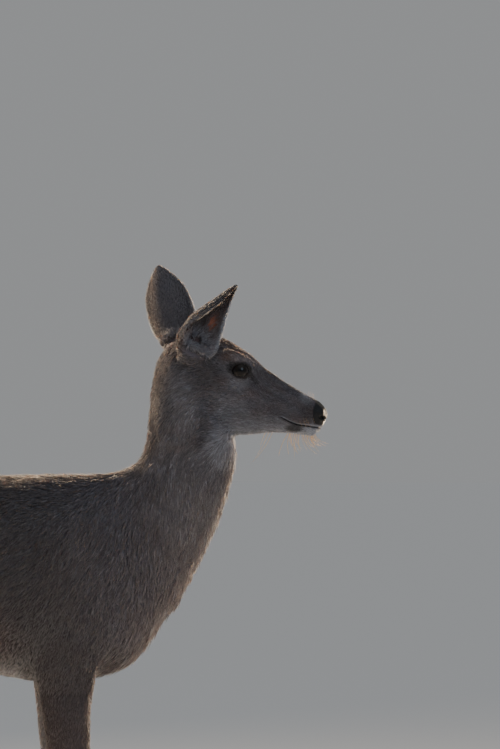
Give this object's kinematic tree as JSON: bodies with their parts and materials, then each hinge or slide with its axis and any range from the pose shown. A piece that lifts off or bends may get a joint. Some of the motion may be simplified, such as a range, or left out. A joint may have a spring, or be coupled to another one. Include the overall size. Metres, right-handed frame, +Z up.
{
  "type": "white-tailed deer",
  "caption": "White-tailed doe standing still with its head up, one ear turned back and one to the side, as a life-size model.",
  "frame": {"origin": "on the ground, below the middle of the doe's bounding box", "axes": "+X the way the doe faces, +Y its left side, +Z up"},
  "size_m": [1.2798, 0.2576, 1.2569],
  "materials": {
    "coat": "short dense hair, matt",
    "eye": "wet gloss",
    "horn": "satin horn"
  },
  "bodies": {
    "root": {"head": "coat", "neck": "coat", "trunk": "coat", "tail": "coat", "foreleg_left": "coat", "foreleg_right": "coat", "hindleg_left": "coat", "hindleg_right": "coat", "ear_left": "coat", "ear_right": "coat", "eye_left": "eye", "eye_right": "eye", "hoof_foreleg_left_inner": "horn", "dewclaw_foreleg_left_inner": "horn", "hoof_foreleg_left_outer": "horn", "dewclaw_foreleg_left_outer": "horn", "hoof_foreleg_right_inner": "horn", "dewclaw_foreleg_right_inner": "horn", "hoof_foreleg_right_outer": "horn", "dewclaw_foreleg_right_outer": "horn", "hoof_hindleg_left_inner": "horn", "dewclaw_hindleg_left_inner": "horn", "hoof_hindleg_left_outer": "horn", "dewclaw_hindleg_left_outer": "horn", "hoof_hindleg_right_inner": "horn", "dewclaw_hindleg_right_inner": "horn", "hoof_hindleg_right_outer": "horn", "dewclaw_hindleg_right_outer": "horn"}
  },
  "joints": []
}
